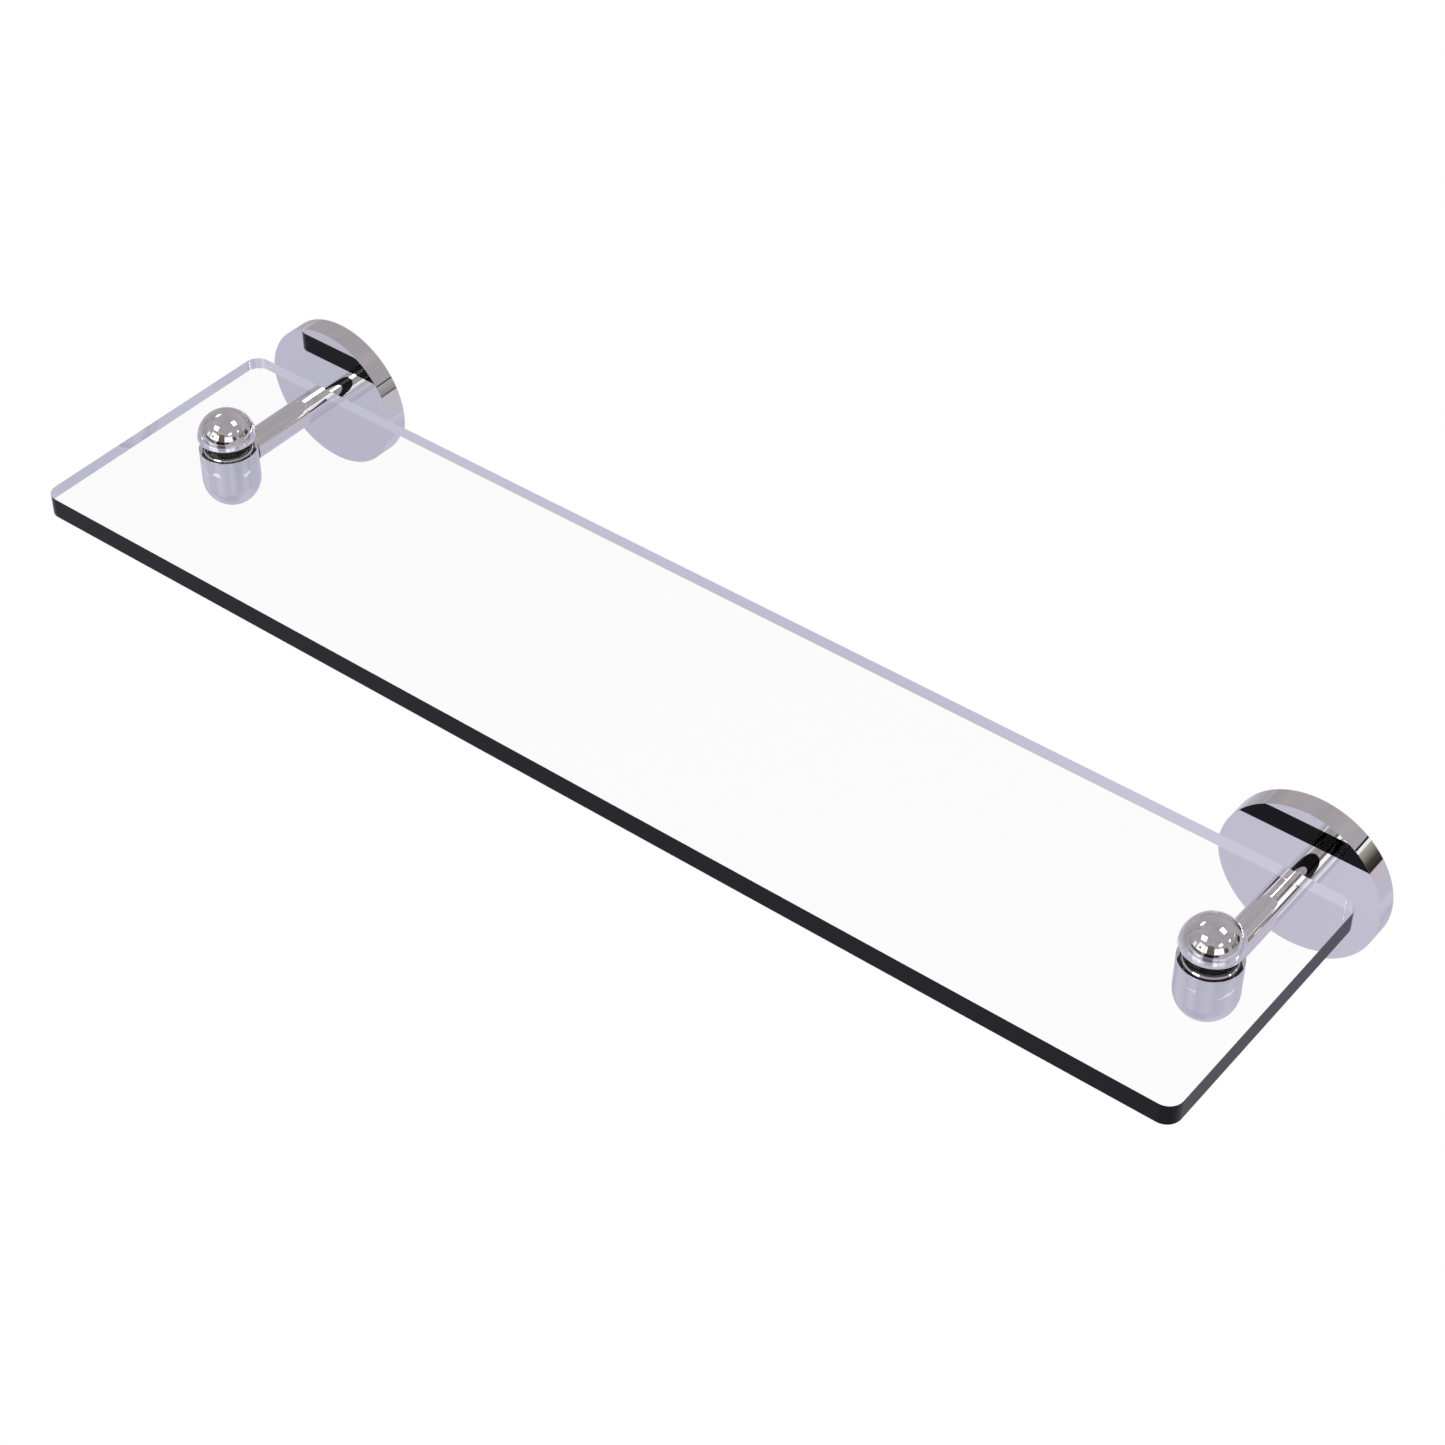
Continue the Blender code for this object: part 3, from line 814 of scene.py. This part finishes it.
def make_post(side, material, joint_shade_material):
    """Bar from the rosette to the clamp, with a saddle-shaped ring of black rubber at its front
    end, painted shade for the shadowed joint against the barrel.
    """
    node = f"{side}_post"
    radius = half_width(node)
    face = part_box(f"{side}_rosette")[0].y - TIGHT
    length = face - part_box(node)[0].y
    centre = middle(node)
    at_face = (centre.x, face, centre.z)
    clamp = middle(f"{side}_clamp_body")
    at_clamp = (clamp.x, clamp.y, centre.z)
    saddle = half_width(f"{side}_clamp_body") + TIGHT

    def saddle_cutter(gap, half_height):
        return cylinder(saddle + gap, -half_height, half_height, at_clamp, facets=FACETS)

    corners = [(0, 0, 0), (radius, 0, TIGHT), (radius, length, 0), (0, length, 0)]
    mesh = turned_mesh(f"{side}_post_bar", soften(corners), FACETS, material)
    post = place(mesh, at_face, OUT_OF_WALL)
    cut(post, saddle_cutter(JOINT_SHADE_THICKNESS + TIGHT, SADDLE_CUTTER))
    for inner_piece in (f"{side}_post_stud", f"{side}_post_screw"):
        piece_low, piece_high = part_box(inner_piece)
        start = face - piece_high.y - CLEARANCE
        end = face - piece_low.y + CLEARANCE
        cut(post, cylinder(POST_BORE, start, end, at_face, OUT_OF_WALL, BORE_FACETS))
    keep(post, node, "frame")

    # Painted shade: the black rubber ring stands in for the shadow in the joint between post and
    # barrel.
    rim = radius - JOINT_SHADE_INSET
    outline = [(POST_BORE, 0), (rim, 0), (rim, length), (POST_BORE, length)]
    mesh = turned_mesh(f"{side}_saddle_joint_shade", outline, FACETS, joint_shade_material)
    joint_shade_ring = place(mesh, at_face, OUT_OF_WALL)
    cut(joint_shade_ring, saddle_cutter(JOINT_SHADE_THICKNESS, SADDLE_CUTTER), "INTERSECT")
    cut(joint_shade_ring, saddle_cutter(0, LONG_SADDLE_CUTTER))
    smooth(joint_shade_ring)
    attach(joint_shade_ring, "frame")


def gasket_recess(side, which):
    """Radius of the recess that a gasket sits in, and the gasket's lowest and highest points."""
    node = f"{side}_{which}_gasket"
    low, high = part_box(node)
    return half_width(node) + RECESS_SIDE, low.z, high.z


def stud_bore(side):
    return half_width(f"{side}_clamp_stud") + CLEARANCE


def make_clamp_body(side, material):
    """Round-bottomed barrel with a shallow groove round its top face."""
    node = f"{side}_clamp_body"
    low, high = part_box(node)
    centre = middle(node)
    radius = half_width(node)
    straight_bottom = low.z + radius
    recess, gasket_bottom, _ = gasket_recess(side, "lower")
    recess_floor = gasket_bottom - TIGHT
    bore = stud_bore(side)
    bore_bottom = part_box(f"{side}_clamp_stud")[0].z - CLEARANCE
    corners = [
        (0, bore_bottom, 0),
        (bore, bore_bottom, 0),
        (bore, recess_floor, CRISP_EDGE),
        (recess, recess_floor, CRISP_EDGE),
        (recess, high.z, CRISP_EDGE),
        (GROOVE_INNER, high.z, 0),
        (GROOVE_OUTER, high.z - GROOVE_DEPTH, 0),
        (GROOVE_OUTER, high.z, 0),
        (radius, high.z, CRISP_EDGE),
        (radius, high.z - 3 * SOFT_EDGE, 0),
        (radius, straight_bottom, 0),
    ]
    outline = soften(corners) + sphere_outline(radius, straight_bottom, -1, straight_bottom)
    mesh = turned_mesh(f"{side}_clamp_barrel", outline, FACETS, material)
    body = place(mesh, (centre.x, centre.y, 0))
    stud = f"{side}_post_stud"
    post = middle(f"{side}_post")
    bore_start = -(centre.y + 2 * radius)
    bore_end = -(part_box(stud)[0].y - CLEARANCE)
    at_post = (post.x, 0, post.z)
    stud_radius = half_width(stud) + TIGHT
    cut(body, cylinder(stud_radius, bore_start, bore_end, at_post, OUT_OF_WALL, BORE_FACETS))
    keep(body, node, "frame")


# A face whose normal's height is below this looks straight down.
DOWNWARD = -0.99


def make_dome(side, material, lining_and_painted_shade):
    """Domed nut: a little less than half a sphere. The flat ring under it is lined with black
    rubber, which stands for the gasket's flange and also paints shade into the narrow gap over the
    glass.
    """
    node = f"{side}_dome_nut"
    centre = middle(node)
    radius = half_width(f"{side}_clamp_body")
    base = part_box("glass_shelf")[1].z + NUT_OFF_GLASS
    centre_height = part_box(node)[1].z - radius
    edge = math.sqrt(radius**2 - (base - centre_height) ** 2)
    recess, _, gasket_top = gasket_recess(side, "upper")
    recess_top = gasket_top + TIGHT
    bore = stud_bore(side)
    bore_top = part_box(f"{side}_clamp_stud")[1].z + CLEARANCE
    corners = [
        (0, bore_top, 0),
        (bore, bore_top, 0),
        (bore, recess_top, CRISP_EDGE),
        (recess, recess_top, CRISP_EDGE),
        (recess, base, CRISP_EDGE),
        (edge, base, CRISP_EDGE),
        (edge, base + 2 * CRISP_EDGE, 0),
    ]
    outline = soften(corners)[:-1] + sphere_outline(radius, centre_height, 1, base)
    mesh = turned_mesh(f"{side}_dome_cap", outline, FACETS, material)
    mesh.materials.append(lining_and_painted_shade)
    # Painted shade in part: the downward flat ring takes the black rubber, darkening the gap
    # between dome and glass.
    for polygon in mesh.polygons:
        if polygon.normal.z < DOWNWARD and polygon.center.z < base + TIGHT:
            polygon.material_index = 1
    dome = place(mesh, (centre.x, centre.y, 0))
    keep(dome, node, f"{side}_dome")


def make_gasket(side, which, body, material):
    """Flat rubber ring with rounded edges."""
    node = f"{side}_{which}_gasket"
    low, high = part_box(node)
    centre = middle(node)
    radius = half_width(node)
    thickness = high.z - low.z
    corners = [
        (GASKET_BORE, 0, SOFT_EDGE),
        (radius, 0, SOFT_EDGE),
        (radius, thickness, SOFT_EDGE),
        (GASKET_BORE, thickness, SOFT_EDGE),
    ]
    mesh = turned_mesh(f"{side}_{which}_gasket_ring", soften(corners, True), FACETS, material)
    ring = place(mesh, (centre.x, centre.y, low.z))
    keep(ring, node, body)


def make_sleeve(side, material):
    """Bush that keeps the stud off the glass."""
    node = f"{side}_glass_sleeve"
    low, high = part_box(node)
    centre = middle(node)
    radius = half_width(node)
    bore = stud_bore(side)
    height = high.z - low.z
    corners = [
        (bore, 0, CRISP_EDGE),
        (radius, 0, SOFT_EDGE),
        (radius, height, SOFT_EDGE),
        (bore, height, CRISP_EDGE),
    ]
    mesh = turned_mesh(f"{side}_sleeve_bush", soften(corners, True), SMALL_FACETS, material)
    sleeve = place(mesh, (centre.x, centre.y, low.z))
    keep(sleeve, node, "frame")


def make_clamp_stud(side, material):
    """Upright stud, threaded all the way."""
    node = f"{side}_clamp_stud"
    low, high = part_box(node)
    centre = middle(node)
    rings = thread_rings(low.z, high.z, half_width(node), STUD_THREAD_DEPTH, STUD_PITCH)
    mesh = threaded_mesh(f"{side}_threaded_stud", rings, STUD_PITCH, THREAD_FACETS, material)
    stud = place(mesh, (centre.x, centre.y, 0))
    keep(stud, node, "frame")


def make_wall_plate(side, material):
    """Round plate with a chamfered front edge and two screw holes."""
    node = f"{side}_wall_plate"
    low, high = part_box(node)
    centre = middle(node)
    radius = half_width(node)
    thickness = high.y - low.y
    corners = [
        (0, 0, 0),
        (radius, 0, SOFT_EDGE),
        (radius, thickness - PLATE_CHAMFER, SOFT_EDGE),
        (radius - PLATE_CHAMFER, thickness, SOFT_EDGE),
        (0, thickness, 0),
    ]
    mesh = turned_mesh(f"{side}_mounting_plate", soften(corners), FACETS, material)
    plate = place(mesh, (centre.x, high.y, centre.z), OUT_OF_WALL)
    for height in (centre.z + PLATE_HOLE_OFFSET, centre.z - PLATE_HOLE_OFFSET):
        spot = (centre.x, high.y, height)
        cut(plate, cylinder(PLATE_HOLE, -thickness, 2 * thickness, spot, OUT_OF_WALL, BORE_FACETS))
    keep(plate, node, "frame")


def make_set_screw(side, material):
    """Headless screw with a hexagonal socket below and a cone point above."""
    node = f"{side}_rosette_set_screw"
    low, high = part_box(node)
    centre = middle(node)
    radius = half_width(node)
    cone = high.z - radius
    rings = thread_rings(low.z, cone, radius, SET_SCREW_THREAD_DEPTH, SET_SCREW_PITCH)
    rings.append((high.z, SET_SCREW_TIP, 0.0))
    mesh = threaded_mesh(f"{side}_grub_screw", rings, SET_SCREW_PITCH, BORE_FACETS, material)
    spot = (centre.x, centre.y, 0)
    screw = place(mesh, spot)
    bottom = low.z - SET_SCREW_SOCKET_DEPTH
    top = low.z + SET_SCREW_SOCKET_DEPTH
    cut(screw, cylinder(SET_SCREW_SOCKET, bottom, top, spot, facets=HEXAGON))
    keep(screw, node, "frame")


def main():
    bpy.context.scene.view_settings.view_transform = "Standard"
    make_camera()
    make_floor()
    make_world()
    make_ceiling()
    make_cards(WALL_CARDS, ROOM)
    make_cards(FLOOR_CARDS, NEAR_ROOM)
    chrome = chrome_material()
    rubber = rubber_material()
    nylon = nylon_material()
    steel = steel_material("zinc_plated_screw", (0.62, 0.63, 0.65), 300.0, (1.0, 1.0, 12.0))
    plate_steel = steel_material("zinc_plated_sheet", (0.60, 0.61, 0.63), 70.0, (1.0, 1.0, 14.0))
    make_glass(glass_materials())
    for side in SIDES:
        make_rosette(side, chrome)
        make_post(side, chrome, rubber)
        make_clamp_body(side, chrome)
        make_dome(side, chrome, rubber)
        make_gasket(side, "lower", "frame", rubber)
        make_gasket(side, "upper", f"{side}_gasket", rubber)
        make_sleeve(side, nylon)
        make_clamp_stud(side, steel)
        make_wall_plate(side, plate_steel)
        make_set_screw(side, steel)
        for part in ("post_screw", "post_stud"):
            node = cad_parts[f"{side}_{part}"]
            node.data.materials.clear()
            node.data.materials.append(steel)


main()
